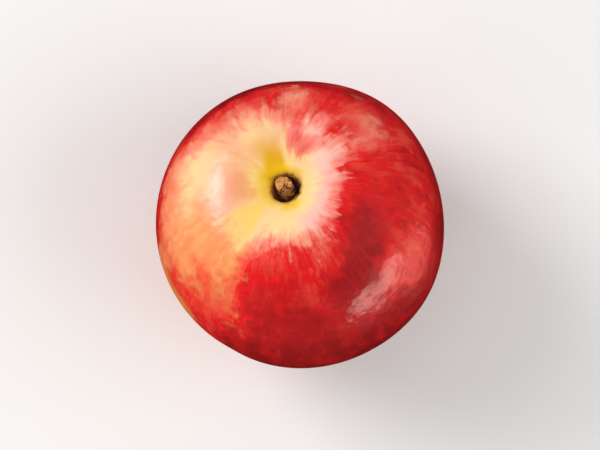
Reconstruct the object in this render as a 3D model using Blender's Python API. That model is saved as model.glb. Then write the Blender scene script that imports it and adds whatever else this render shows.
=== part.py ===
"""A nectarine, the smooth-skinned peach, resting on a table with its stem end up and leaning back.

The fruit is one solid, with its stem cavity, suture and tip. The torn stub of the stalk in the
stem pit is the other. Metres, +Z up. Run it with: blender --background --python part.py
"""

import math

import bmesh
import bpy
from mathutils import Matrix, Vector

MM = 0.001

# Pose: the core axis leans away from upright, towards this compass direction (0 is +X, 90 is +Y).
LEAN = math.radians(19.0)
LEAN_TOWARDS = math.radians(111.0)

# Body, round the core axis. Polar angles run from the stem end, 0, to the tip, 180 degrees.
EQUATOR_RADIUS = 33.9 * MM
LENGTH_RATIO = 1.03
SHOULDER_FULLNESS = 1.3 * MM
SHOULDER_POLAR = math.radians(41.0)
SHOULDER_SPREAD = math.radians(20.0)

# Slight lumps: direction round the core, polar angle, height over the body. All have one spread.
LUMPS = (
    (math.radians(52.0), math.radians(79.0), 0.8 * MM),
    (math.radians(332.0), math.radians(104.0), 0.7 * MM),
    (math.radians(90.0), math.radians(70.0), -0.5 * MM),
    (math.radians(232.0), math.radians(100.0), -0.3 * MM),
)
LUMP_SPREAD = math.radians(24.0)

# Stem cavity: a rounded funnel. Its width is a distance from the core axis.
CAVITY_DEPTH = 10.5 * MM
CAVITY_WIDTH = 8.2 * MM
CAVITY_POWER = 1.6
CAVITY_STRETCH = 0.10

# Stem pit at the bottom of the cavity, where the stalk was attached.
PIT_DEPTH = 3.0 * MM
PIT_FLOOR_RADIUS = 2.95 * MM
PIT_RIM_RADIUS = 3.45 * MM

# Suture, the long crease from the cavity to the tip. It is deepest at the shoulder and near the tip.
SUTURE_TOWARDS = math.radians(240.0)
SUTURE_WIDTH = 4.2 * MM
SUTURE_AT_EQUATOR = 0.2 * MM
SUTURE_AT_SHOULDER = 1.0 * MM
SUTURE_SHOULDER_POLAR = math.radians(21.0)
SUTURE_AT_TIP = 0.7 * MM
SUTURE_TIP_POLAR = math.radians(164.0)
SUTURE_SPREAD = math.radians(13.0)

# Short valley in the bank of the cavity, across from the suture.
VALLEY_TOWARDS = math.radians(97.0)
VALLEY_WIDTH = 4.2 * MM
VALLEY_DEPTH = 1.8 * MM
VALLEY_POLAR = math.radians(15.0)
VALLEY_SPREAD = math.radians(10.0)

# Both grooves: how rounded they are, where they begin as they leave the pit, and how they fade out
# round the core, by the cosine of the turn away from them.
GROOVE_POWER = 1.7
GROOVE_STARTS = math.radians(6.0)
GROOVE_IS_FULL = math.radians(13.0)
GROOVE_FADES_FROM = 0.6
GROOVE_FADES_TO = -0.2

# Tip: a small point in a shallow dimple.
TIP_HEIGHT = 0.9 * MM
TIP_WIDTH = 2.0 * MM
DIMPLE_DEPTH = 0.6 * MM
DIMPLE_WIDTH = 7.0 * MM

# Flat spot that the fruit rests on.
FLAT_SPOT_DEPTH = 0.65 * MM

# Mesh of the fruit: rings start this close at the stem end and widen steadily.
SEGMENTS = 72
FIRST_RING_STEP = math.radians(0.85)
RING_GROWTH = 1.06
LAST_RING_STEP = math.radians(4.2)
SEAM_MERGE = 1e-4  # on the ball of radius 1, before its points are set out

# Stub of the stalk, a short torn cylinder. Its offset is from the core axis.
STUB_RADIUS = 1.95 * MM
STUB_HEIGHT = 3.3 * MM
STUB_OFFSET = Vector((-0.25, 0.4, 0.0)) * MM
STUB_LEAN = Vector((-0.3, 0.6, 0.0)) * MM
STUB_SLANT = 0.5 * MM
STUB_SLANT_TOWARDS = math.radians(135.0)
STUB_RAGGED = 0.25 * MM
STUB_TEETH = 5
STUB_TAPER = 0.88
STUB_SEGMENTS = 20
STUB_GAP = 0.3 * MM

SKIN_COLOUR = (0.62, 0.045, 0.03, 1.0)
SKIN_ROUGHNESS = 0.32
STUB_COLOUR = (0.30, 0.17, 0.08, 1.0)
STUB_ROUGHNESS = 0.85

# A face turned this much towards the table, as a cosine, is the flat spot and keeps its edge.
FLAT_SPOT_COSINE = 0.9999


def clear_scene():
    for obj in list(bpy.data.objects):
        bpy.data.objects.remove(obj, do_unlink=True)


def bell(distance, width, power=2.0):
    """1 at a distance of nothing, falling smoothly to 0."""
    return math.exp(-((abs(distance) / width) ** power))


def ramp(start, end, value):
    """0 before the start, 1 after the end, and smooth between them."""
    t = min(max((value - start) / (end - start), 0.0), 1.0)
    return t * t * (3.0 - 2.0 * t)


def direction(azimuth, polar):
    flat = math.sin(polar)
    return Vector((flat * math.cos(azimuth), flat * math.sin(azimuth), math.cos(polar)))


def body_radius(azimuth, polar):
    """The plain body: a slightly long round with full shoulders and a few lumps."""
    across, along = math.sin(polar), math.cos(polar) / LENGTH_RATIO
    radius = EQUATOR_RADIUS / math.hypot(across, along)
    radius += SHOULDER_FULLNESS * bell(polar - SHOULDER_POLAR, SHOULDER_SPREAD)
    here = direction(azimuth, polar)
    for lump_azimuth, lump_polar, height in LUMPS:
        apart = here.angle(direction(lump_azimuth, lump_polar), 0.0)
        radius += height * bell(apart, LUMP_SPREAD)
    return radius


def groove(azimuth, polar, towards, width):
    """How deep a groove is here, as a share of its full depth."""
    turn = azimuth - towards
    apart = EQUATOR_RADIUS * math.sin(polar) * math.sin(turn)
    on_this_side = ramp(GROOVE_FADES_TO, GROOVE_FADES_FROM, math.cos(turn))
    starts = ramp(GROOVE_STARTS, GROOVE_IS_FULL, polar)
    return on_this_side * starts * bell(apart, width, GROOVE_POWER)


def fruit_radius(azimuth, polar):
    """Distance from the fruit's middle to its skin."""
    radius = body_radius(azimuth, polar)

    suture_depth = SUTURE_AT_EQUATOR
    suture_depth += SUTURE_AT_SHOULDER * bell(polar - SUTURE_SHOULDER_POLAR, SUTURE_SPREAD)
    suture_depth += SUTURE_AT_TIP * bell(polar - SUTURE_TIP_POLAR, SUTURE_SPREAD)
    radius -= suture_depth * groove(azimuth, polar, SUTURE_TOWARDS, SUTURE_WIDTH)
    valley_depth = VALLEY_DEPTH * bell(polar - VALLEY_POLAR, VALLEY_SPREAD)
    radius -= valley_depth * groove(azimuth, polar, VALLEY_TOWARDS, VALLEY_WIDTH)

    from_axis = radius * math.sin(polar)
    if polar < math.pi / 2:
        stretch = 1.0 + CAVITY_STRETCH * math.cos(2.0 * (azimuth - SUTURE_TOWARDS))
        funnel = max(from_axis, PIT_RIM_RADIUS)
        radius -= CAVITY_DEPTH * bell(funnel, CAVITY_WIDTH * stretch, CAVITY_POWER)
        from_axis = radius * math.sin(polar)
        radius -= PIT_DEPTH * (1.0 - ramp(PIT_FLOOR_RADIUS, PIT_RIM_RADIUS, from_axis))
    else:
        radius -= DIMPLE_DEPTH * bell(from_axis, DIMPLE_WIDTH)
        radius += TIP_HEIGHT * bell(from_axis, TIP_WIDTH)
    return radius


def ring_angles():
    """Polar angles of the rings, closest in the stem pit."""
    polar, step = 0.0, FIRST_RING_STEP
    angles = [polar]
    while polar + step < math.pi - 0.5 * LAST_RING_STEP:
        polar += step
        angles.append(polar)
        step = min(step * RING_GROWTH, LAST_RING_STEP)
    return angles + [math.pi]


def fruit_mesh():
    """Half an outline spun to a ball, with each point then set at its own distance."""
    bm = bmesh.new()
    outline = [bm.verts.new(direction(0.0, polar)) for polar in ring_angles()]
    edges = [bm.edges.new(pair) for pair in zip(outline, outline[1:])]
    bmesh.ops.spin(
        bm,
        geom=outline + edges,
        cent=(0.0, 0.0, 0.0),
        axis=(0.0, 0.0, 1.0),
        angle=math.tau,
        steps=SEGMENTS,
        use_merge=True,
    )
    bmesh.ops.remove_doubles(bm, verts=bm.verts, dist=SEAM_MERGE)
    for vert in bm.verts:
        azimuth = math.atan2(vert.co.y, vert.co.x)
        polar = math.acos(min(max(vert.co.z / vert.co.length, -1.0), 1.0))
        vert.co = direction(azimuth, polar) * fruit_radius(azimuth, polar)
    bmesh.ops.recalc_face_normals(bm, faces=bm.faces)
    return bm


def cut_flat_spot(bm, down):
    """Slices off the lowest part of the skin, square to the table."""
    lowest = max(vert.co.dot(down) for vert in bm.verts)
    everything = bm.verts[:] + bm.edges[:] + bm.faces[:]
    cut = bmesh.ops.bisect_plane(
        bm,
        geom=everything,
        plane_co=down * (lowest - FLAT_SPOT_DEPTH),
        plane_no=down,
        clear_outer=True,
    )
    rim = [item for item in cut["geom_cut"] if isinstance(item, bmesh.types.BMEdge)]
    bmesh.ops.holes_fill(bm, edges=rim, sides=0)
    bmesh.ops.recalc_face_normals(bm, faces=bm.faces)


def stub_mesh():
    """A short cylinder that narrows upwards, with its top slanted and torn."""
    floor = fruit_radius(0.0, 0.0) + STUB_GAP
    bm = bmesh.new()
    bmesh.ops.create_cone(
        bm,
        cap_ends=True,
        cap_tris=True,
        segments=STUB_SEGMENTS,
        radius1=STUB_RADIUS,
        radius2=STUB_RADIUS * STUB_TAPER,
        depth=STUB_HEIGHT,
    )
    for vert in bm.verts:
        vert.co += STUB_LEAN * (vert.co.z / STUB_HEIGHT + 0.5)
        if vert.co.z > 0.0:
            across = vert.co.xy - STUB_LEAN.xy
            turn = math.atan2(across.y, across.x)
            out = across.length / STUB_RADIUS
            vert.co.z += STUB_SLANT * out * math.cos(turn - STUB_SLANT_TOWARDS)
            vert.co.z += STUB_RAGGED * out * math.sin(STUB_TEETH * turn)
        vert.co += STUB_OFFSET + Vector((0.0, 0.0, floor + 0.5 * STUB_HEIGHT))
    return bm


def material(name, colour, roughness):
    made = bpy.data.materials.new(name)
    made.use_nodes = True
    shader = made.node_tree.nodes["Principled BSDF"]
    shader.inputs["Base Color"].default_value = colour
    shader.inputs["Roughness"].default_value = roughness
    shader.inputs["Metallic"].default_value = 0.0
    return made


def add_object(name, bm, finish, parent):
    mesh = bpy.data.meshes.new(name)
    bm.to_mesh(mesh)
    bm.free()
    mesh.materials.append(finish)
    obj = bpy.data.objects.new(name, mesh)
    obj.parent = parent
    bpy.context.scene.collection.objects.link(obj)
    return obj


def shade_round(obj, flat_normal):
    """Smooth all over, but for the flat spot."""
    for face in obj.data.polygons:
        face.use_smooth = face.normal.dot(flat_normal) < FLAT_SPOT_COSINE


def place_on_table(core, fruit):
    """Sets the fruit's lowest face at height 0 and the middle of its box over the origin."""
    points = [core.matrix_basis @ vert.co for vert in fruit.data.vertices]
    low = Vector([min(point[axis] for point in points) for axis in range(3)])
    high = Vector([max(point[axis] for point in points) for axis in range(3)])
    core.location = (-0.5 * (low.x + high.x), -0.5 * (low.y + high.y), -low.z)


def main():
    clear_scene()
    lean_axis = Vector((-math.sin(LEAN_TOWARDS), math.cos(LEAN_TOWARDS), 0.0))
    lean = Matrix.Rotation(LEAN, 4, lean_axis)
    down = lean.inverted().to_3x3() @ Vector((0.0, 0.0, -1.0))

    core = bpy.data.objects.new("core_axis", None)
    core.rotation_euler = lean.to_euler()
    bpy.context.scene.collection.objects.link(core)

    skin = fruit_mesh()
    cut_flat_spot(skin, down)
    fruit = add_object("fruit", skin, material("skin", SKIN_COLOUR, SKIN_ROUGHNESS), core)
    shade_round(fruit, down)
    add_object("stem_stub", stub_mesh(), material("dry_stalk", STUB_COLOUR, STUB_ROUGHNESS), core)
    place_on_table(core, fruit)


main()
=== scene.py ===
"""The looks of a nectarine, the smooth-skinned peach, from straight above in soft studio light.

The skin and the torn stalk are fine meshes from the same formula as the solids that they stand for.
Everything is in metres, in the solids' own frame, and every colour is made by nodes.
"""

import math

import bpy
import numpy as np
from mathutils import Matrix, Vector


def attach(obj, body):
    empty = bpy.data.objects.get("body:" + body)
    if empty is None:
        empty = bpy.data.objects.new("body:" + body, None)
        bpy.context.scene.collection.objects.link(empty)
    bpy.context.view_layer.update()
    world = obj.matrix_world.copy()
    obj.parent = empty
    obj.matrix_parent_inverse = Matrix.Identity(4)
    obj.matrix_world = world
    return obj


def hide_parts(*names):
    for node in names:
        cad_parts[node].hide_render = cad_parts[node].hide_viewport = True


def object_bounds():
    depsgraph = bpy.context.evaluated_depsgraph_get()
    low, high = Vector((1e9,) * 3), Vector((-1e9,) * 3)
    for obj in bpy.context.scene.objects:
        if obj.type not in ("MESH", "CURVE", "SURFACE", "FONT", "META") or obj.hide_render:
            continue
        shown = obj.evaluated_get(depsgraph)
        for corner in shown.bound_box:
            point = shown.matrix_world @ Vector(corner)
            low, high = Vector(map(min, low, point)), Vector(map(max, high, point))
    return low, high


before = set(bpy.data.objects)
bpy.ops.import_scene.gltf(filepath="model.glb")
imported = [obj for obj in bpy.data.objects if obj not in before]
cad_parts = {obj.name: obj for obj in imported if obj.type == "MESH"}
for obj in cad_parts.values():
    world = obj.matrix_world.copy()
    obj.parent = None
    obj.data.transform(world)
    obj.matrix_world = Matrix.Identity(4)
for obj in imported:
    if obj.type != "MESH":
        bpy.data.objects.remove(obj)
cad_low, cad_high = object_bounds()

MM = 0.001

# Pose: the core axis leans away from upright, towards this compass direction (0 is +X, 90 is +Y).
LEAN = math.radians(19.0)
LEAN_TOWARDS = math.radians(111.0)

# Body, round the core axis. Polar angles run from the stem end, 0, to the tip, 180 degrees.
EQUATOR_RADIUS = 33.9 * MM
LENGTH_RATIO = 1.03
SHOULDER_FULLNESS = 1.3 * MM
SHOULDER_POLAR = math.radians(41.0)
SHOULDER_SPREAD = math.radians(20.0)

# Slight lumps: direction round the core, polar angle, height over the body. All have one spread.
LUMPS = (
    (math.radians(52.0), math.radians(79.0), 0.8 * MM),
    (math.radians(332.0), math.radians(104.0), 0.7 * MM),
    (math.radians(90.0), math.radians(70.0), -0.5 * MM),
    (math.radians(232.0), math.radians(100.0), -0.3 * MM),
)
LUMP_SPREAD = math.radians(24.0)

# Stem cavity and the stem pit at its bottom. Widths are distances from the core axis.
CAVITY_DEPTH = 10.5 * MM
CAVITY_WIDTH = 8.2 * MM
CAVITY_POWER = 1.6
CAVITY_STRETCH = 0.10
PIT_DEPTH = 3.0 * MM
PIT_FLOOR_RADIUS = 2.95 * MM
PIT_RIM_RADIUS = 3.45 * MM

# Suture, the long crease from the cavity to the tip: its depth at the widest line, and how much
# deeper it is at the shoulder and at the tip.
SUTURE_TOWARDS = math.radians(240.0)
SUTURE_WIDTH = 4.2 * MM
SUTURE_AT_EQUATOR = 0.2 * MM
SUTURE_AT_SHOULDER = 1.0 * MM
SUTURE_SHOULDER_POLAR = math.radians(21.0)
SUTURE_AT_TIP = 0.7 * MM
SUTURE_TIP_POLAR = math.radians(164.0)
SUTURE_SPREAD = math.radians(13.0)

# Valley, the short crease across from the suture.
VALLEY_TOWARDS = math.radians(97.0)
VALLEY_WIDTH = 4.2 * MM
VALLEY_DEPTH = 1.8 * MM
VALLEY_POLAR = math.radians(15.0)
VALLEY_SPREAD = math.radians(10.0)

# Both grooves: how rounded they are, where they begin as they leave the pit, and how they fade out
# round the core, by the cosine of the turn away from them.
GROOVE_POWER = 1.7
GROOVE_STARTS = math.radians(6.0)
GROOVE_IS_FULL = math.radians(13.0)
GROOVE_FADES_FROM = 0.6
GROOVE_FADES_TO = -0.2

# Tip, a small point in a shallow dimple, and the flat spot that the fruit rests on.
TIP_HEIGHT = 0.9 * MM
TIP_WIDTH = 2.0 * MM
DIMPLE_DEPTH = 0.6 * MM
DIMPLE_WIDTH = 7.0 * MM
FLAT_SPOT_DEPTH = 0.65 * MM

# Fine mesh: rings start close at the stem end and widen steadily.
SEGMENTS = 384
FIRST_RING_STEP = math.radians(0.28)
RING_GROWTH = 1.02
LAST_RING_STEP = math.radians(0.95)

# Stub of the stalk. It is rooted in the floor of the pit, a little off the core axis.
STUB_RADIUS = 1.95 * MM
STUB_HEIGHT = 4.2 * MM
STUB_ROOT = 0.6 * MM
STUB_OFFSET = np.array([-0.25, 0.4, 0.0]) * MM
STUB_LEAN = np.array([-0.3, 0.6, 0.0]) * MM
STUB_SEGMENTS = 160
STUB_SIDE_RINGS = 20
STUB_TOP_RINGS = 24

# The stub's radius at its top, just under the top and at its root, as shares of the full radius,
# and how far its side swells.
TOP_SHARE = 0.9
NECK_SHARE = 0.92
ROOT_SHARE = 1.05
STUB_SWELL = 0.1 * MM

# Waves round the stub: how many, how high, and where they start. Those of the bark are shares of
# the radius. Those of the torn top grow from its middle to its edge.
BARK_WAVES = ((2, 0.07, math.pi / 2), (7, 0.03, 0.0), (13, 0.02, 1.0))
TORN_WAVES = ((3, 0.28 * MM, 1.0), (5, 0.2 * MM, 2.0), (11, 0.1 * MM, 0.0), (23, 0.07 * MM, 2.0))
TORN_POWER = 1.5

# The fibres of the stub's top, the crack across it, and its slant.
FIBRE_HEIGHT = 0.08 * MM
FIBRE_WIDTH = 0.11 * MM
FIBRE_LENGTH = 0.16 * MM
FIBRE_START = 1.0
CRACK_DEPTH = 0.7 * MM
CRACK_WIDTH = 0.22 * MM
CRACK_LENGTH = 1.2 * MM
CRACK_SLOPE = 0.3
CRACK_X = 0.25 * MM
CRACK_MIDDLE_Y = -0.3 * MM
SLANT = 0.5 * MM
SLANT_TOWARDS = math.radians(130.0)

# Camera: straight above, with the fruit's width this share of the frame's height.
CAMERA_DISTANCE = 0.85
FRUIT_SHARE_OF_HEIGHT = 0.64
PHOTO_SHAPE = 600 / 450
SENSOR_WIDTH_MM = 36.0

# Pale floor, and light from all round.
FLOOR_REACH = 3.0
FLOOR_COLOUR = (0.85, 0.85, 0.84, 1.0)
FLOOR_ROUGHNESS = 0.7
ROOM_COLOUR = (1.0, 1.0, 1.0, 1.0)
ROOM_STRENGTH = 0.52

# Lights, all facing the fruit: azimuth and elevation in degrees, distance and size in metres, power
# in watts, colour, and whether the skin mirrors the light.
LIGHTS = {
    "key": (150.0, 38.0, 1.6, (0.9, 0.9), 10.6, (1.0, 1.0, 1.0), True),
    "key_core": (147.0, 37.0, 1.58, (0.66, 0.42), 5.4, (1.0, 0.95, 0.96), True),
    "card": (-40.0, -6.0, 0.9, (0.62, 0.17), 3.0, (1.0, 0.82, 0.72), True),
    "glow": (-18.0, -24.0, 0.9, (0.38, 0.3), 0.8, (1.0, 0.5, 0.4), True),
    "side": (60.0, 10.0, 1.2, (0.3, 0.3), 0.5, (1.0, 1.0, 1.0), True),
    "fill": (-8.0, 38.0, 1.5, (1.2, 1.2), 8.6, (1.0, 1.0, 1.0), False),
    "low_fill": (214.0, 2.0, 1.2, (0.4, 0.4), 8.0, (1.0, 0.88, 0.7), False),
}


def bell(distance, width, power=2.0):
    """1 at a distance of nothing, falling smoothly to 0."""
    return np.exp(-((np.abs(distance) / width) ** power))


def ramp(start, end, value):
    """0 before the start, 1 after the end, and smooth between them."""
    t = np.clip((value - start) / (end - start), 0.0, 1.0)
    return t * t * (3.0 - 2.0 * t)


def direction(azimuth, polar):
    """The unit vector that points this way from the fruit's middle."""
    flat = np.sin(polar)
    parts = (flat * np.cos(azimuth), flat * np.sin(azimuth), np.cos(polar))
    return np.stack(np.broadcast_arrays(*parts), axis=-1)


def body_radius(azimuth, polar):
    """The plain body: a slightly long round with full shoulders and a few lumps."""
    radius = EQUATOR_RADIUS / np.hypot(np.sin(polar), np.cos(polar) / LENGTH_RATIO)
    radius = radius + SHOULDER_FULLNESS * bell(polar - SHOULDER_POLAR, SHOULDER_SPREAD)
    here = direction(azimuth, polar)
    for lump_azimuth, lump_polar, height in LUMPS:
        apart = np.arccos(np.clip(here @ direction(lump_azimuth, lump_polar), -1.0, 1.0))
        radius = radius + height * bell(apart, LUMP_SPREAD)
    return radius


def groove(azimuth, polar, towards, width):
    """How deep a groove is here, as a share of its full depth."""
    turn = azimuth - towards
    apart = EQUATOR_RADIUS * np.sin(polar) * np.sin(turn)
    on_this_side = ramp(GROOVE_FADES_TO, GROOVE_FADES_FROM, np.cos(turn))
    starts = ramp(GROOVE_STARTS, GROOVE_IS_FULL, polar)
    return on_this_side * starts * bell(apart, width, GROOVE_POWER)


def fruit_radius(azimuth, polar):
    """Distance from the fruit's middle to its skin."""
    radius = body_radius(azimuth, polar)

    at_shoulder = SUTURE_AT_SHOULDER * bell(polar - SUTURE_SHOULDER_POLAR, SUTURE_SPREAD)
    at_tip = SUTURE_AT_TIP * bell(polar - SUTURE_TIP_POLAR, SUTURE_SPREAD)
    suture_depth = SUTURE_AT_EQUATOR + at_shoulder + at_tip
    radius = radius - suture_depth * groove(azimuth, polar, SUTURE_TOWARDS, SUTURE_WIDTH)
    valley_depth = VALLEY_DEPTH * bell(polar - VALLEY_POLAR, VALLEY_SPREAD)
    radius = radius - valley_depth * groove(azimuth, polar, VALLEY_TOWARDS, VALLEY_WIDTH)

    from_axis = radius * np.sin(polar)
    dimple = DIMPLE_DEPTH * bell(from_axis, DIMPLE_WIDTH)
    tip_end = radius - dimple + TIP_HEIGHT * bell(from_axis, TIP_WIDTH)

    stretch = 1.0 + CAVITY_STRETCH * np.cos(2.0 * (azimuth - SUTURE_TOWARDS))
    funnel = np.maximum(from_axis, PIT_RIM_RADIUS)
    stem_end = radius - CAVITY_DEPTH * bell(funnel, CAVITY_WIDTH * stretch, CAVITY_POWER)
    from_axis = stem_end * np.sin(polar)
    stem_end = stem_end - PIT_DEPTH * (1.0 - ramp(PIT_FLOOR_RADIUS, PIT_RIM_RADIUS, from_axis))
    return np.where(polar < math.pi / 2, stem_end, tip_end)


def ring_angles():
    """Polar angles of the rings between the two poles, closest in the stem pit."""
    polar, step = 0.0, FIRST_RING_STEP
    angles = []
    while polar + step < math.pi - 0.5 * LAST_RING_STEP:
        polar += step
        angles.append(polar)
        step = min(step * RING_GROWTH, LAST_RING_STEP)
    return np.array(angles)


def ball_faces(rings, segments):
    """Faces of a ball whose points are its rings in order, then its first pole and its last."""
    faces = []
    first_pole, last_pole = rings * segments, rings * segments + 1
    last_ring = (rings - 1) * segments
    for column in range(segments):
        beside = (column + 1) % segments
        faces.append((first_pole, column, beside))
        for ring in range(rings - 1):
            here, below = ring * segments, (ring + 1) * segments
            faces.append((here + column, below + column, below + beside, here + beside))
        faces.append((last_ring + column, last_pole, last_ring + beside))
    return faces


def lean_matrix():
    """The turn that tips the core axis over."""
    axis = Vector((-math.sin(LEAN_TOWARDS), math.cos(LEAN_TOWARDS), 0.0))
    return Matrix.Rotation(LEAN, 4, axis)


def mesh_object(name, points, faces):
    """A new smooth object in the scene."""
    mesh = bpy.data.meshes.new(name)
    mesh.from_pydata(points.tolist(), [], faces)
    mesh.shade_smooth()
    obj = bpy.data.objects.new(name, mesh)
    bpy.context.scene.collection.objects.link(obj)
    return obj


def fruit_points():
    """Points of the fruit round its core axis: the rings in order, then stem end and tip."""
    around = np.linspace(0.0, math.tau, SEGMENTS, endpoint=False)
    polar, azimuth = np.meshgrid(ring_angles(), around, indexing="ij")
    grid = direction(azimuth, polar) * fruit_radius(azimuth, polar)[..., None]
    stem_end = (0.0, 0.0, float(fruit_radius(0.0, 0.0)))
    tip = (0.0, 0.0, -float(fruit_radius(0.0, math.pi)))
    return np.concatenate([grid.reshape(-1, 3), np.array([stem_end, tip])])


def make_fruit():
    """The fruit, leaning on the table, and the matrix from its core axis to the table's frame."""
    lean = lean_matrix()
    leaning = fruit_points() @ np.array(lean.to_3x3()).T
    floor = leaning[:, 2].min() + FLAT_SPOT_DEPTH
    leaning[:, 2] = np.maximum(leaning[:, 2], floor)

    own_middle = 0.5 * (leaning.min(axis=0) + leaning.max(axis=0))
    cad_middle = 0.5 * (cad_low + cad_high)
    shift = Vector((cad_middle.x - own_middle[0], cad_middle.y - own_middle[1], cad_low.z - floor))
    faces = ball_faces(len(ring_angles()), SEGMENTS)
    return mesh_object("skin", leaning + np.array(shift), faces), Matrix.Translation(shift) @ lean


def waves(turn, table):
    """The sum of the table's waves round a ring."""
    return sum(height * np.sin(count * turn + start) for count, height, start in table)


def stub_top(turn, bark):
    """Rings of the stub's top, from its middle out: torn, fibrous, slanted and cracked across."""
    torn = waves(turn, TORN_WAVES)
    rings = []
    for step in range(1, STUB_TOP_RINGS + 1):
        share = step / STUB_TOP_RINGS
        out = STUB_RADIUS * TOP_SHARE * share * bark
        x, y = out * np.cos(turn), out * np.sin(turn)
        fibres = FIBRE_HEIGHT * np.sin(x / FIBRE_WIDTH) * np.sin(y / FIBRE_LENGTH + FIBRE_START)
        in_crack = bell(x - CRACK_X - CRACK_SLOPE * y, CRACK_WIDTH)
        crack = CRACK_DEPTH * in_crack * bell(y - CRACK_MIDDLE_Y, CRACK_LENGTH)
        slant = SLANT * share * np.cos(turn - SLANT_TOWARDS)
        height = STUB_HEIGHT + torn * share**TORN_POWER + fibres - crack + slant
        rings.append(np.stack([x, y, height], axis=-1) + STUB_LEAN)
    return rings


def stub_side(turn, bark, edge):
    """Rings of the stub's side, from under the edge of its top down to its root."""
    outward = np.stack([np.cos(turn), np.sin(turn), np.zeros_like(turn)], axis=-1)
    rings = []
    for step in range(1, STUB_SIDE_RINGS):
        share = step / (STUB_SIDE_RINGS - 1)
        out = STUB_RADIUS * (NECK_SHARE + (ROOT_SHARE - NECK_SHARE) * share) * bark
        ring = edge * (1.0 - share) + outward * out[:, None] * share
        rings.append(ring + STUB_SWELL * math.sin(math.pi * share) * outward)
    return rings


def make_stub(core):
    """A short woody stub with its root in the floor of the pit, torn off at its top."""
    turn = np.linspace(0.0, math.tau, STUB_SEGMENTS, endpoint=False)
    bark = 1.0 + waves(turn, BARK_WAVES)
    rings = stub_top(turn, bark)
    rings += stub_side(turn, bark, rings[-1])
    top_middle = rings[0].mean(axis=0, keepdims=True)
    root_middle = np.zeros((1, 3))
    root_height = float(fruit_radius(0.0, 0.0)) - STUB_ROOT
    points = np.concatenate([*rings, top_middle, root_middle])
    points = points + STUB_OFFSET + np.array([0.0, 0.0, root_height])
    points = points @ np.array(core.to_3x3()).T + np.array(core.translation)
    return mesh_object("stalk", points, ball_faces(len(rings), STUB_SEGMENTS))


def srgb(red, green, blue):
    """A colour written in the 0 to 255 numbers of a screen, as the linear one that shaders take."""

    def linear(part):
        part /= 255.0
        return part / 12.92 if part <= 0.04045 else ((part + 0.055) / 1.055) ** 2.4

    return (linear(red), linear(green), linear(blue), 1.0)


# The colour sockets of Blender's mix node, which has a set of sockets for each kind of data.
MIX_COLOUR_INPUTS = (0, 6, 7)
MIX_COLOUR_OUTPUT = 2

# Skin colours.
CREAM = srgb(244, 207, 148)
YELLOW_SKIN = srgb(252, 214, 96)
GOLD = srgb(234, 186, 0)
PALE_PINK = srgb(242, 180, 168)
PINK = srgb(240, 112, 96)
ORANGE = srgb(232, 116, 68)
RED = srgb(224, 6, 14)
LIGHT_RED = srgb(240, 84, 58)
DEEP_RED = srgb(160, 4, 8)
RUSSET = srgb(176, 128, 28)
PIT_BROWN = srgb(88, 34, 28)
PIT_TAN = srgb(190, 122, 56)
PIT_OLIVE = srgb(196, 190, 80)

# Noises: how many grains in a metre, and how many finer layers each has.
NOISES = {
    "cloud": (130.0, 2.0),
    "mottle": (420.0, 2.0),
    "crumb": (700.0, 2.0),
    "fleck": (1300.0, 2.0),
    "ripple": (280.0, 1.0),
    "hammered": (800.0, 1.0),
    "grain": (2600.0, 1.0),
}

# Streaks: how many in a radian round the core, and how many in a radian from stem end to tip.
STREAKS = {
    "broad streak": (8.0, 1.6),
    "middle streak": (18.0, 2.6),
    "fine streak": (45.0, 6.0),
}
STREAK_DETAIL = 2.0

# How the streaks waver: the grains in a metre, and how far, in streaks.
WAVER_ROUND = (190.0, 0.7)
WAVER_ALONG = (260.0, 0.5)
WAVER_DETAIL = 1.0

# How much of each noise goes into the edges of the patches, in degrees, into the blush, into the
# rays of the red, light and dark, into the edges of the pit and the tip, and, in millimetres, into
# the relief.
AZIMUTH_NOISE = {"mottle": 1.5, "cloud": 7.0}
POLAR_NOISE = {"broad streak": 1.9, "middle streak": 1.0, "fine streak": 0.4, "mottle": 1.5}
BLUSH_NOISE = {
    "cloud": 0.16,
    "mottle": 0.12,
    "fleck": 0.05,
    "broad streak": 0.12,
    "middle streak": 0.14,
    "fine streak": 0.08,
}
RAY_NOISE = {"broad streak": 0.5, "middle streak": 1.0, "fine streak": 0.5, "cloud": 1.2}
RIM_NOISE = {"crumb": 0.5}
TIP_NOISE = {"mottle": 1.5}
RELIEF = {"ripple": 0.07, "hammered": 0.02, "grain": 0.004}

# Ramps: where each starts and where it ends, then its values there if they aren't 0 and 1.
# These go by the polar angle in degrees.
NOISY_FROM = (14.0, 30.0)
SKIN_ROUGHNESS = (16.0, 28.0, 0.6, 0.42)
SKIN_COAT = (16.0, 28.0, 0.0, 0.6)
FAR_FROM_PIT = (80.0, 100.0, 0.0, 100.0)

# These go by the blush.
NOISY_BLUSH = (0.1, 0.6, 0.35, 0.85)
FIRST_FLUSH = (0.0, 0.5, 0.0, 0.85)
FULL_RED = (0.42, 0.8)
DARKEST_RED = (0.85, 1.35)

# These go by the strength of the rays.
LIGHT_RAYS = (0.05, 1.0, 0.0, 0.6)
DARK_RAYS = (-0.05, -1.0, 0.0, 0.6)
RAYS_IN_DARKEST = (-0.5, 1.1, 0.0, 0.5)

# These go by millimetres from the middle of the pit, and by degrees from the tip.
RUSSET_RIM = (4.6, 3.4, 0.0, 0.75)
PIT_ROUGHNESS = (4.2, 3.4, 0.0, 0.4)
PIT_WALL = (3.75, 3.2)
RUSSET_TIP = (3.4, 1.6, 0.0, 0.7)
TIP_POINT = (1.5, 0.7)

# The rest of the skin's finish. The smallest radius keeps the streaks whole on the core axis.
SKIN_IOR = 1.36
COAT_ROUGHNESS = 0.23
SMALLEST_RADIUS = 1e-6

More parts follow.
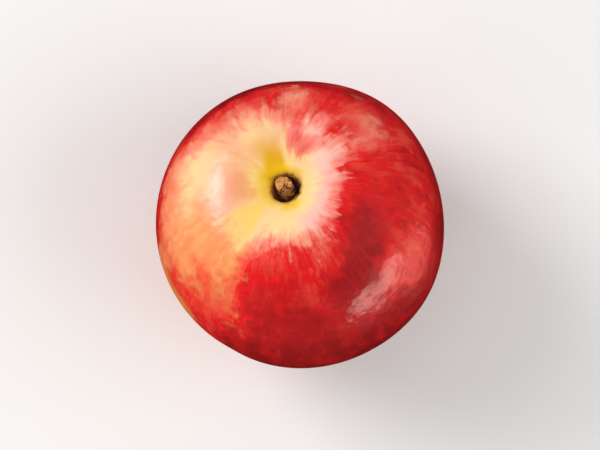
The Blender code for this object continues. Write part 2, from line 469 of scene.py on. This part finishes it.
# Dry stalk: its stains, coarse and fine, where they start and end, and its finish.
WOOD = srgb(216, 160, 92)
WOOD_BROWN = srgb(112, 54, 26)
STAIN = (900.0, 2.0)
FINE_STAIN = (3200.0, 2.0)
FINE_STAIN_AMOUNT = 0.6
STAINED = (-0.1, 0.45)
STALK_ROUGHNESS = 0.9
STALK_SPECULAR = 0.2

# Patches of the skin, in degrees: left and right edges by azimuth, upper and lower edges by polar
# angle, the softness of those four edges, and the amount. Azimuths are seen from the stem end and
# grow anticlockwise, with 0 at the right of the picture and 90 at the top. First, how much red.
BLUSH = {
    "right cheek": (244, 376, 24, 200, 10, 18, 8, 1, 0.84),
    "upper cheek": (16, 96, 23, 200, 18, 12, 6, 1, 0.6),
    "upper cheek, further down": (14, 70, 50, 200, 12, 12, 12, 1, 0.25),
    "red streak on the upper cheek": (56, 76, 35, 54, 5, 5, 6, 6, 0.25),
    "red above the valley": (88, 112, 30, 46, 8, 8, 5, 6, 0.1),
    # Painted shade: these two deepen the red towards the top edge, where shade falls.
    "painted shade at the top": (74, 156, 49, 200, 10, 12, 4, 1, 0.6),
    "darker painted shade near the top": (104, 132, 44, 56, 8, 8, 5, 5, 0.3),
    "upper left cheek": (96, 148, 31, 200, 12, 16, 9, 1, 0.58),
    "left edge": (150, 186, 43, 200, 12, 14, 8, 1, 0.3),
    "left cheek": (135, 244, 59, 200, 16, 5, 14, 1, 0.55),
    "left cheek, further down": (170, 244, 65, 200, 16, 5, 8, 1, 0.2),
    "left of the suture": (186, 244, 36, 60, 20, 9, 14, 14, 0.38),
    "peach wash on the left cheek": (95, 244, 16, 52, 12, 5, 5, 10, 0.06),
    "peach band by the cavity": (95, 220, 12, 22, 12, 20, 4, 5, 0.14),
    "pink under the highlight": (136, 210, 18, 32, 12, 14, 5, 5, 0.08),
    "pink left of the cavity": (186, 226, 26, 38, 10, 10, 5, 6, 0.17),
    "pink above and right of the cavity": (310, 452, 18, 24, 20, 10, 4, 5, 0.05),
    "pale notch below the cavity": (296, 316, 17, 24, 10, 10, 3, 3, -0.12),
    "pink fringe below the cavity": (310, 344, 18.5, 25, 8, 8, 3, 4, 0.05),
    "red above the cavity": (52, 84, 14.3, 21, 8, 7, 3, 4, 0.5),
    "redder above the cavity": (70, 88, 18.5, 24, 6, 5, 2.5, 3, 0.22),
    "red further above the cavity": (78, 92, 23, 28, 6, 6, 3, 3, 0.06),
    "red to the right above the cavity": (50, 66, 15, 20, 6, 6, 3, 3, 0.12),
    "red at the right of the cavity": (342, 355, 20, 27, 7, 6, 2.5, 4, 0.16),
    "red at the right of the cavity, further round": (365, 376, 22.5, 29, 6, 4, 2, 3, 0.24),
    "pale streak right of the cavity": (23, 36, 20, 29, 6, 5, 4, 4, -0.17),
    "flush at the right of the cavity": (344, 380, 14.5, 19, 8, 8, 2.5, 3, 0.12),
    "lighter red below the cavity": (294, 307, 28, 36, 6, 5, 3, 4, -0.26),
    "pink outer left cheek": (145, 164, 37, 50, 8, 10, 5, 5, 0.14),
    "peach left of the cavity": (133, 168, 21, 27, 8, 8, 3, 4, 0.12),
    "peach further left of the cavity": (168, 204, 13, 22, 8, 10, 3, 5, 0.1),
    # Partly pale ground and partly a painted highlight on the valley bank that faces the light.
    "pale above the cavity": (57, 76, 22.5, 28, 5, 5, 2.5, 3, -0.36),
    "red by the pale spot": (44, 54, 24, 29, 4, 4, 2, 3, 0.18),
    "red above the valley, higher": (90, 102, 31, 41, 6, 6, 4, 4, 0.1),
    # Partly a pale streak of the skin and partly a painted highlight.
    "pale streak above the cavity": (76, 92, 34, 44, 6, 6, 5, 6, -0.14),
    "pale at the upper right": (30, 48, 40, 47, 8, 8, 5, 6, -0.08),
    "red below the pale spot": (32, 54, 29, 38, 6, 7, 4, 4, 0.17),
    "red at the right": (346, 382, 30, 56, 10, 10, 7, 8, 0.16),
    "edge of the red at the right": (326, 384, 21, 30, 10, 10, 3, 6, 0.12),
    "red by the suture": (250, 284, 34, 46, 8, 10, 6, 6, 0.16),
    "orange by the suture": (236, 248, 54, 70, 6, 6, 8, 8, -0.1),
    "flush by the suture": (219, 240, 44, 65, 8, 6, 8, 8, 0.17),
    "flush by the suture, nearer the cavity": (220, 236, 30, 40, 6, 5, 4, 4, 0.07),
    "deep red on the right": (306, 344, 34, 46, 7, 8, 5, 5, 0.42),
    "deep red under the highlight": (293, 324, 42, 60, 7, 8, 4, 8, 0.48),
    "deep red at the right of the cavity": (318, 350, 26, 36, 8, 8, 5, 5, 0.32),
    # Deep red of the skin, made darker further down by painted shade.
    "deep red below": (286, 322, 62, 200, 10, 10, 10, 1, 0.3),
    "deep red right of the suture": (248, 288, 46, 200, 8, 10, 10, 1, 0.34),
    "deep red along the lower edge": (236, 360, 76, 200, 6, 10, 7, 1, 0.35),
    # Painted shade: darker red along the right edge.
    "painted shade at the right edge": (350, 410, 70, 200, 14, 14, 8, 1, 0.3),
    "first yellow at the left edge": (187, 203, 68, 80, 6, 5, 5, 6, -0.25),
    "yellow at the lower left edge": (195, 220, 80, 104, 8, 8, 9, 14, -0.48),
    "yellow streaks further down": (188, 224, 104, 138, 12, 12, 12, 16, -0.28),
}

# Where the ground under the blush is yellow, gold or pale pink, and the first flush orange. Some of
# the gold is painted shade and some of the pale pink a painted highlight, as marked.
YELLOW_PLACES = {
    "right of the pit": (300, 420, 3, 11, 20, 20, 1, 3, 0.12),
    "ring round the pit": (0, 359, 3, 9.5, 1, 1, 1, 2, 0.25),
    "left of the cavity": (100, 212, 3, 14, 10, 10, 1, 5, 0.9),
    "left bank of the suture": (214, 234, 9, 27, 7, 5, 3, 6, 0.75),
    "right bank of the suture": (242, 268, 5, 13, 2, 10, 2, 5, 0.18),
    "above the pit": (72, 94, 3, 14, 10, 6, 1, 3, 0.45),
    "below the pit": (268, 320, 5, 13, 10, 30, 2, 5, 0.6),
    "left of the suture": (200, 246, 28, 66, 14, 4, 6, 12, 0.4),
}
GOLD_PLACES = {
    # Partly gold ground and partly painted shade: the gold is deepest on the bank facing away from
    # the light.
    "left bank of the valley": (95, 132, 3, 19, 7, 9, 1, 5, 1.0),
    "thin ring above the pit": (40, 95, 3, 10.5, 14, 6, 1, 1.5, 0.75),
    "left of the cavity": (122, 160, 3, 12, 8, 12, 1, 2, 0.45),
    "left of the pit": (90, 250, 3, 11, 14, 20, 1, 2.5, 0.6),
    # Partly gold ground and partly painted shade in the bottom of the cavity below the pit.
    "below the pit": (262, 312, 3, 11.5, 12, 12, 1, 2, 0.7),
    "lower left edge": (195, 220, 78, 104, 8, 8, 9, 14, 0.9),
    "further down on the left": (188, 224, 104, 142, 12, 12, 12, 16, 0.5),
}
PALE_PLACES = {
    "above and right of the cavity": (294, 410, 15, 30, 14, 24, 3, 5, 0.95),
    # Painted highlight: pale pink where the key light's highlight lies on the left cheek.
    "under the highlight": (160, 214, 21, 31, 10, 8, 4, 5, 0.45),
    # Partly pale ground and partly a painted highlight on the valley bank that faces the light.
    "above the cavity": (50, 82, 19, 32, 8, 6, 3, 4, 0.8),
}
ORANGE_PLACES = {
    "left cheek": (180, 258, 28, 200, 25, 6, 6, 1, 1.0),
    "left bank of the cavity": (100, 226, 6, 20, 12, 12, 2, 6, 1.0),
}

# Where the red has fewer light rays, where the blush is less uneven, and where the skin is dull.
EVEN_RED_PLACES = {
    "right cheek": (322, 372, 20, 50, 10, 12, 4, 8, 0.5),
}
CALM_PLACES = {
    "left side": (90, 246, 10, 120, 20, 6, 6, 10, 0.45),
    "upper right": (14, 74, 32, 80, 12, 8, 8, 10, 0.45),
}
DULL_PLACES = {
    "right bank of the suture": (240, 264, 10, 36, 4, 8, 2, 8, 1.0),
}

# The wall of the stem pit that the stub leans towards, on the side the light comes from. Tan there
# and brown round the rest of the pit are partly the scar's own colours, partly painted light and
# shade.
PIT_TAN_SIDE = (90, 200, 0, 90, 30, 30, 1, 1, 0.8)

# On the floor of the stem pit. Its upper and lower edges are millimetres from the core axis.
OLIVE_RING = (262, 340, 2.1, 3.0, 18, 18, 0.15, 0.1, 0.9)


class Nodes:
    """Adds nodes to a tree and joins them. All but add and feed give an output to join on to."""

    def __init__(self, tree):
        self.tree = tree

    def add(self, kind, **settings):
        node = self.tree.nodes.new(kind)
        for name, value in settings.items():
            setattr(node, name, value)
        return node

    def feed(self, socket, value):
        """Links an output to the socket, or writes a plain value into it."""
        if isinstance(value, bpy.types.NodeSocket):
            self.tree.links.new(value, socket)
        else:
            socket.default_value = value

    def math(self, operation, *values):
        node = self.add("ShaderNodeMath", operation=operation)
        for socket, value in zip(node.inputs, values):
            self.feed(socket, value)
        return node.outputs[0]

    def scaled(self, value, amount):
        return self.math("MULTIPLY", value, amount)

    def total(self, *values):
        result = values[0]
        for value in values[1:]:
            result = self.math("ADD", result, value)
        return result

    def between(self, value, start, end, low=0.0, high=1.0):
        """low up to the start, high from the end, and smooth between them."""
        node = self.add("ShaderNodeMapRange", interpolation_type="SMOOTHSTEP")
        given = {"Value": value, "From Min": start, "From Max": end, "To Min": low, "To Max": high}
        for name, number in given.items():
            self.feed(node.inputs[name], number)
        return node.outputs["Result"]

    def noise(self, where, scale, detail):
        """Noise round 0, mostly between -0.5 and 0.5."""
        node = self.add("ShaderNodeTexNoise", normalize=False)
        self.feed(node.inputs["Vector"], where)
        node.inputs["Scale"].default_value = scale
        node.inputs["Detail"].default_value = detail
        return node.outputs["Fac"]

    def blend(self, share, under, over):
        """The under colour with this share of the over colour. The share stops at 0 and at 1."""
        node = self.add("ShaderNodeMix", data_type="RGBA", clamp_factor=True)
        for index, value in zip(MIX_COLOUR_INPUTS, (share, under, over)):
            self.feed(node.inputs[index], value)
        return node.outputs[MIX_COLOUR_OUTPUT]

    def point(self, x, y, z):
        node = self.add("ShaderNodeCombineXYZ")
        for socket, value in zip(node.inputs, (x, y, z)):
            self.feed(socket, value)
        return node.outputs[0]


def core_coordinates(nodes, core):
    """Where a point is in the fruit's own frame, with the core axis up."""
    back = core.inverted()
    node = nodes.add("ShaderNodeMapping", vector_type="POINT")
    nodes.feed(node.inputs["Vector"], nodes.add("ShaderNodeTexCoord").outputs["Object"])
    node.inputs["Location"].default_value = back.translation
    node.inputs["Rotation"].default_value = back.to_euler()
    return node.outputs[0]


def patch_group():
    """A patch of skin with soft edges, in degrees. It gives the amount inside and 0 outside."""
    group = bpy.data.node_groups.new("patch", "ShaderNodeTree")
    edges = ("left", "right", "upper", "lower")
    names = ("azimuth", "polar", *edges, *(edge + " softness" for edge in edges), "amount")
    for name in names:
        group.interface.new_socket(name, in_out="INPUT", socket_type="NodeSocketFloat")
    group.interface.new_socket("share", in_out="OUTPUT", socket_type="NodeSocketFloat")
    nodes = Nodes(group)
    given = nodes.add("NodeGroupInput").outputs

    def minus(value):
        return nodes.scaled(value, -1.0)

    def past(value, edge, softness):
        return nodes.between(nodes.math("SUBTRACT", value, edge), minus(softness), softness)

    half = nodes.scaled(nodes.math("SUBTRACT", given["right"], given["left"]), 0.5)
    middle = nodes.math("ADD", given["left"], half)
    turn = nodes.math("WRAP", nodes.math("SUBTRACT", given["azimuth"], middle), 180.0, -180.0)
    share = given["amount"]
    for inside in (
        past(turn, minus(half), given["left softness"]),
        past(minus(turn), minus(half), given["right softness"]),
        past(given["polar"], given["upper"], given["upper softness"]),
        past(minus(given["polar"]), minus(given["lower"]), given["lower softness"]),
    ):
        share = nodes.math("MULTIPLY", share, inside)
    nodes.feed(nodes.add("NodeGroupOutput").inputs["share"], share)
    return group


class Skin:
    """Coordinates and noises that all the markings of the skin share. Angles are in degrees."""

    def __init__(self, nodes, core):
        self.nodes = nodes
        self.patches = patch_group()
        self.here = core_coordinates(nodes, core)
        split = nodes.add("ShaderNodeSeparateXYZ")
        nodes.feed(split.inputs[0], self.here)
        x, y, z = split.outputs
        squares = nodes.total(nodes.math("MULTIPLY", x, x), nodes.math("MULTIPLY", y, y))
        from_axis = nodes.math("SQRT", squares)
        self.polar_radians = nodes.math("ARCTAN2", from_axis, z)
        self.polar = nodes.math("DEGREES", self.polar_radians)
        self.azimuth = nodes.math("DEGREES", nodes.math("ARCTAN2", y, x))
        below_widest = nodes.between(self.polar, *FAR_FROM_PIT)
        self.from_pit_mm = nodes.total(nodes.math("DIVIDE", from_axis, MM), below_widest)

        never_zero = nodes.math("MAXIMUM", from_axis, SMALLEST_RADIUS)
        self.cosine = nodes.math("DIVIDE", x, never_zero)
        self.sine = nodes.math("DIVIDE", y, never_zero)
        self.waver_round = self.waver(*WAVER_ROUND)
        self.waver_along = self.waver(*WAVER_ALONG)
        self.noises = {}
        for name, (scale, detail) in NOISES.items():
            self.noises[name] = nodes.noise(self.here, scale, detail)
        for name, (around, along) in STREAKS.items():
            self.noises[name] = self.streaks(around, along)

    def waver(self, scale, amount):
        return self.nodes.scaled(self.nodes.noise(self.here, scale, WAVER_DETAIL), amount)

    def streaks(self, around, along):
        """Noise drawn out from the stem end to the tip, which wavers a little on its way."""
        nodes = self.nodes
        where = nodes.point(
            nodes.total(nodes.scaled(self.cosine, around), self.waver_round),
            nodes.total(nodes.scaled(self.sine, around), self.waver_round),
            nodes.total(nodes.scaled(self.polar_radians, along), self.waver_along),
        )
        return nodes.noise(where, 1.0, STREAK_DETAIL)

    def noisy(self, amounts, *values):
        """The values, if any, and these amounts of the noises, all added up."""
        added = (self.nodes.scaled(self.noises[name], amount) for name, amount in amounts.items())
        return self.nodes.total(*values, *added)

    def patch(self, azimuth, polar, place):
        node = self.nodes.add("ShaderNodeGroup", node_tree=self.patches)
        for socket, value in zip(node.inputs, (azimuth, polar, *place)):
            self.nodes.feed(socket, value)
        return node.outputs["share"]

    def inside(self, azimuth, polar, places):
        """The amounts of all the places that a point is in, added up."""
        return self.nodes.total(*(self.patch(azimuth, polar, place) for place in places.values()))

    def outside(self, azimuth, polar, places):
        """1 outside the places, and less inside them by their amounts."""
        return self.nodes.math("SUBTRACT", 1.0, self.inside(azimuth, polar, places))


def skin_colour(nodes, skin):
    """The pale ground, the blush over it in three layers, and the brown of the pit and the tip."""
    azimuth = skin.noisy(AZIMUTH_NOISE, skin.azimuth)
    polar = skin.noisy(POLAR_NOISE, skin.polar)

    ground = nodes.blend(skin.inside(azimuth, polar, PALE_PLACES), CREAM, PALE_PINK)
    ground = nodes.blend(skin.inside(azimuth, skin.polar, YELLOW_PLACES), ground, YELLOW_SKIN)
    ground = nodes.blend(skin.inside(azimuth, skin.polar, GOLD_PLACES), ground, GOLD)

    blush = skin.inside(azimuth, polar, BLUSH)
    unevenness = skin.noisy(BLUSH_NOISE)
    for share in (
        nodes.between(skin.polar, *NOISY_FROM),
        nodes.between(blush, *NOISY_BLUSH),
        skin.outside(azimuth, polar, CALM_PLACES),
    ):
        unevenness = nodes.math("MULTIPLY", unevenness, share)
    blush = nodes.total(blush, unevenness)

    flush = nodes.blend(skin.inside(azimuth, skin.polar, ORANGE_PLACES), PINK, ORANGE)
    rays = skin.noisy(RAY_NOISE)
    uneven_red = skin.outside(azimuth, polar, EVEN_RED_PLACES)
    light_rays = nodes.math("MULTIPLY", nodes.between(rays, *LIGHT_RAYS), uneven_red)
    red = nodes.blend(light_rays, RED, LIGHT_RED)
    red = nodes.blend(nodes.between(rays, *DARK_RAYS), red, DEEP_RED)
    darkest = nodes.blend(nodes.between(rays, *RAYS_IN_DARKEST), DEEP_RED, RED)
    colour = nodes.blend(nodes.between(blush, *FIRST_FLUSH), ground, flush)
    colour = nodes.blend(nodes.between(blush, *FULL_RED), colour, red)
    colour = nodes.blend(nodes.between(blush, *DARKEST_RED), colour, darkest)

    from_pit = skin.noisy(RIM_NOISE, skin.from_pit_mm)
    # Partly painted light: the pit wall is tan on the lit side and brown on the shaded side.
    wall = nodes.blend(skin.patch(skin.azimuth, skin.polar, PIT_TAN_SIDE), PIT_BROWN, PIT_TAN)
    colour = nodes.blend(nodes.between(from_pit, *RUSSET_RIM), colour, RUSSET)
    colour = nodes.blend(nodes.between(from_pit, *PIT_WALL), colour, wall)
    colour = nodes.blend(skin.patch(skin.azimuth, skin.from_pit_mm, OLIVE_RING), colour, PIT_OLIVE)
    from_tip = skin.noisy(TIP_NOISE, nodes.math("SUBTRACT", 180.0, skin.polar))
    colour = nodes.blend(nodes.between(from_tip, *RUSSET_TIP), colour, RUSSET)
    return nodes.blend(nodes.between(from_tip, *TIP_POINT), colour, PIT_BROWN)


def skin_relief(nodes, skin):
    """Faint unevenness, seen only where it breaks up the lights' reflections."""
    bump = nodes.add("ShaderNodeBump")
    bump.inputs["Strength"].default_value = 1.0
    bump.inputs["Distance"].default_value = MM
    nodes.feed(bump.inputs["Height"], skin.noisy(RELIEF))
    return bump.outputs[0]


def new_material(name):
    """A new material and its Principled shader."""
    material = bpy.data.materials.new(name)
    material.use_nodes = True
    return material, material.node_tree.nodes["Principled BSDF"]


def skin_material(core):
    """Waxy skin with a soft coat, duller in the stem cavity and dry in the pit."""
    material, shader = new_material("skin")
    nodes = Nodes(material.node_tree)
    skin = Skin(nodes, core)
    relief = skin_relief(nodes, skin)
    nodes.feed(shader.inputs["Base Color"], skin_colour(nodes, skin))
    nodes.feed(shader.inputs["Normal"], relief)
    nodes.feed(shader.inputs["Coat Normal"], relief)
    roughness = nodes.between(skin.polar, *SKIN_ROUGHNESS)
    in_pit = nodes.between(skin.from_pit_mm, *PIT_ROUGHNESS)
    nodes.feed(shader.inputs["Roughness"], nodes.total(roughness, in_pit))
    coat = nodes.between(skin.polar, *SKIN_COAT)
    glossy = skin.outside(skin.azimuth, skin.polar, DULL_PLACES)
    nodes.feed(shader.inputs["Coat Weight"], nodes.math("MULTIPLY", coat, glossy))
    shader.inputs["IOR"].default_value = SKIN_IOR
    shader.inputs["Coat Roughness"].default_value = COAT_ROUGHNESS
    return material


def wood_material():
    """Dry wood, stained brown."""
    material, shader = new_material("dry_stalk")
    nodes = Nodes(material.node_tree)
    here = nodes.add("ShaderNodeTexCoord").outputs["Object"]
    fine_stains = nodes.scaled(nodes.noise(here, *FINE_STAIN), FINE_STAIN_AMOUNT)
    stains = nodes.total(nodes.noise(here, *STAIN), fine_stains)
    colour = nodes.blend(nodes.between(stains, *STAINED), WOOD, WOOD_BROWN)
    nodes.feed(shader.inputs["Base Color"], colour)
    shader.inputs["Roughness"].default_value = STALK_ROUGHNESS
    shader.inputs["Specular IOR Level"].default_value = STALK_SPECULAR
    return material


def floor_material():
    material, shader = new_material("floor")
    shader.inputs["Base Color"].default_value = FLOOR_COLOUR
    shader.inputs["Roughness"].default_value = FLOOR_ROUGHNESS
    return material


def aim(light, azimuth, elevation, distance, target):
    """Puts a light at this compass direction, height angle and distance, facing the target."""
    a, e = math.radians(azimuth), math.radians(elevation)
    away = Vector((math.cos(a) * math.cos(e), math.sin(a) * math.cos(e), math.sin(e)))
    light.location = target + away * distance
    light.rotation_euler = away.to_track_quat("Z", "Y").to_euler()


def area_light(name, size, power, colour, mirrored):
    """A rectangular light that the camera doesn't see."""
    data = bpy.data.lights.new(name, "AREA")
    data.shape = "RECTANGLE"
    data.size, data.size_y = size
    data.energy = power
    data.color = colour
    light = bpy.data.objects.new(name, data)
    light.visible_camera = False
    light.visible_glossy = mirrored
    bpy.context.scene.collection.objects.link(light)
    return light


def make_studio(target):
    """A pale floor, the lights round the target, and light from all sides."""
    signs = ((-1, -1), (1, -1), (1, 1), (-1, 1))
    corners = np.array([(x * FLOOR_REACH, y * FLOOR_REACH, 0.0) for x, y in signs])
    floor = mesh_object("floor", corners, [(0, 1, 2, 3)])
    floor.data.materials.append(floor_material())
    floor.visible_glossy = False

    for name, (azimuth, elevation, distance, size, power, colour, mirrored) in LIGHTS.items():
        light = area_light(name, size, power, colour, mirrored)
        aim(light, azimuth, elevation, distance, target)

    world = bpy.data.worlds.new("studio")
    world.use_nodes = True
    background = world.node_tree.nodes["Background"]
    background.inputs["Color"].default_value = ROOM_COLOUR
    background.inputs["Strength"].default_value = ROOM_STRENGTH
    world.cycles_visibility.glossy = False
    bpy.context.scene.world = world
    bpy.context.scene.view_settings.view_transform = "Standard"


def make_camera(middle, width):
    """A camera straight above the middle, zoomed in until the fruit has its share of the frame."""
    data = bpy.data.cameras.new("camera")
    data.sensor_width = SENSOR_WIDTH_MM
    height_seen = width / FRUIT_SHARE_OF_HEIGHT
    data.lens = SENSOR_WIDTH_MM / PHOTO_SHAPE * CAMERA_DISTANCE / height_seen
    camera = bpy.data.objects.new("camera", data)
    camera.location = middle + Vector((0.0, 0.0, CAMERA_DISTANCE))
    bpy.context.scene.collection.objects.link(camera)
    bpy.context.scene.camera = camera


fruit, core = make_fruit()
fruit.data.materials.append(skin_material(core))
stub = make_stub(core)
stub.data.materials.append(wood_material())

bpy.context.view_layer.update()
for piece, node, finish in ((fruit, "fruit", "skin"), (stub, "stem_stub", "dry_stalk")):
    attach(piece, "root")
    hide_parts(node)

middle = 0.5 * (cad_low + cad_high)
make_studio(middle)
make_camera(middle, cad_high.x - cad_low.x)
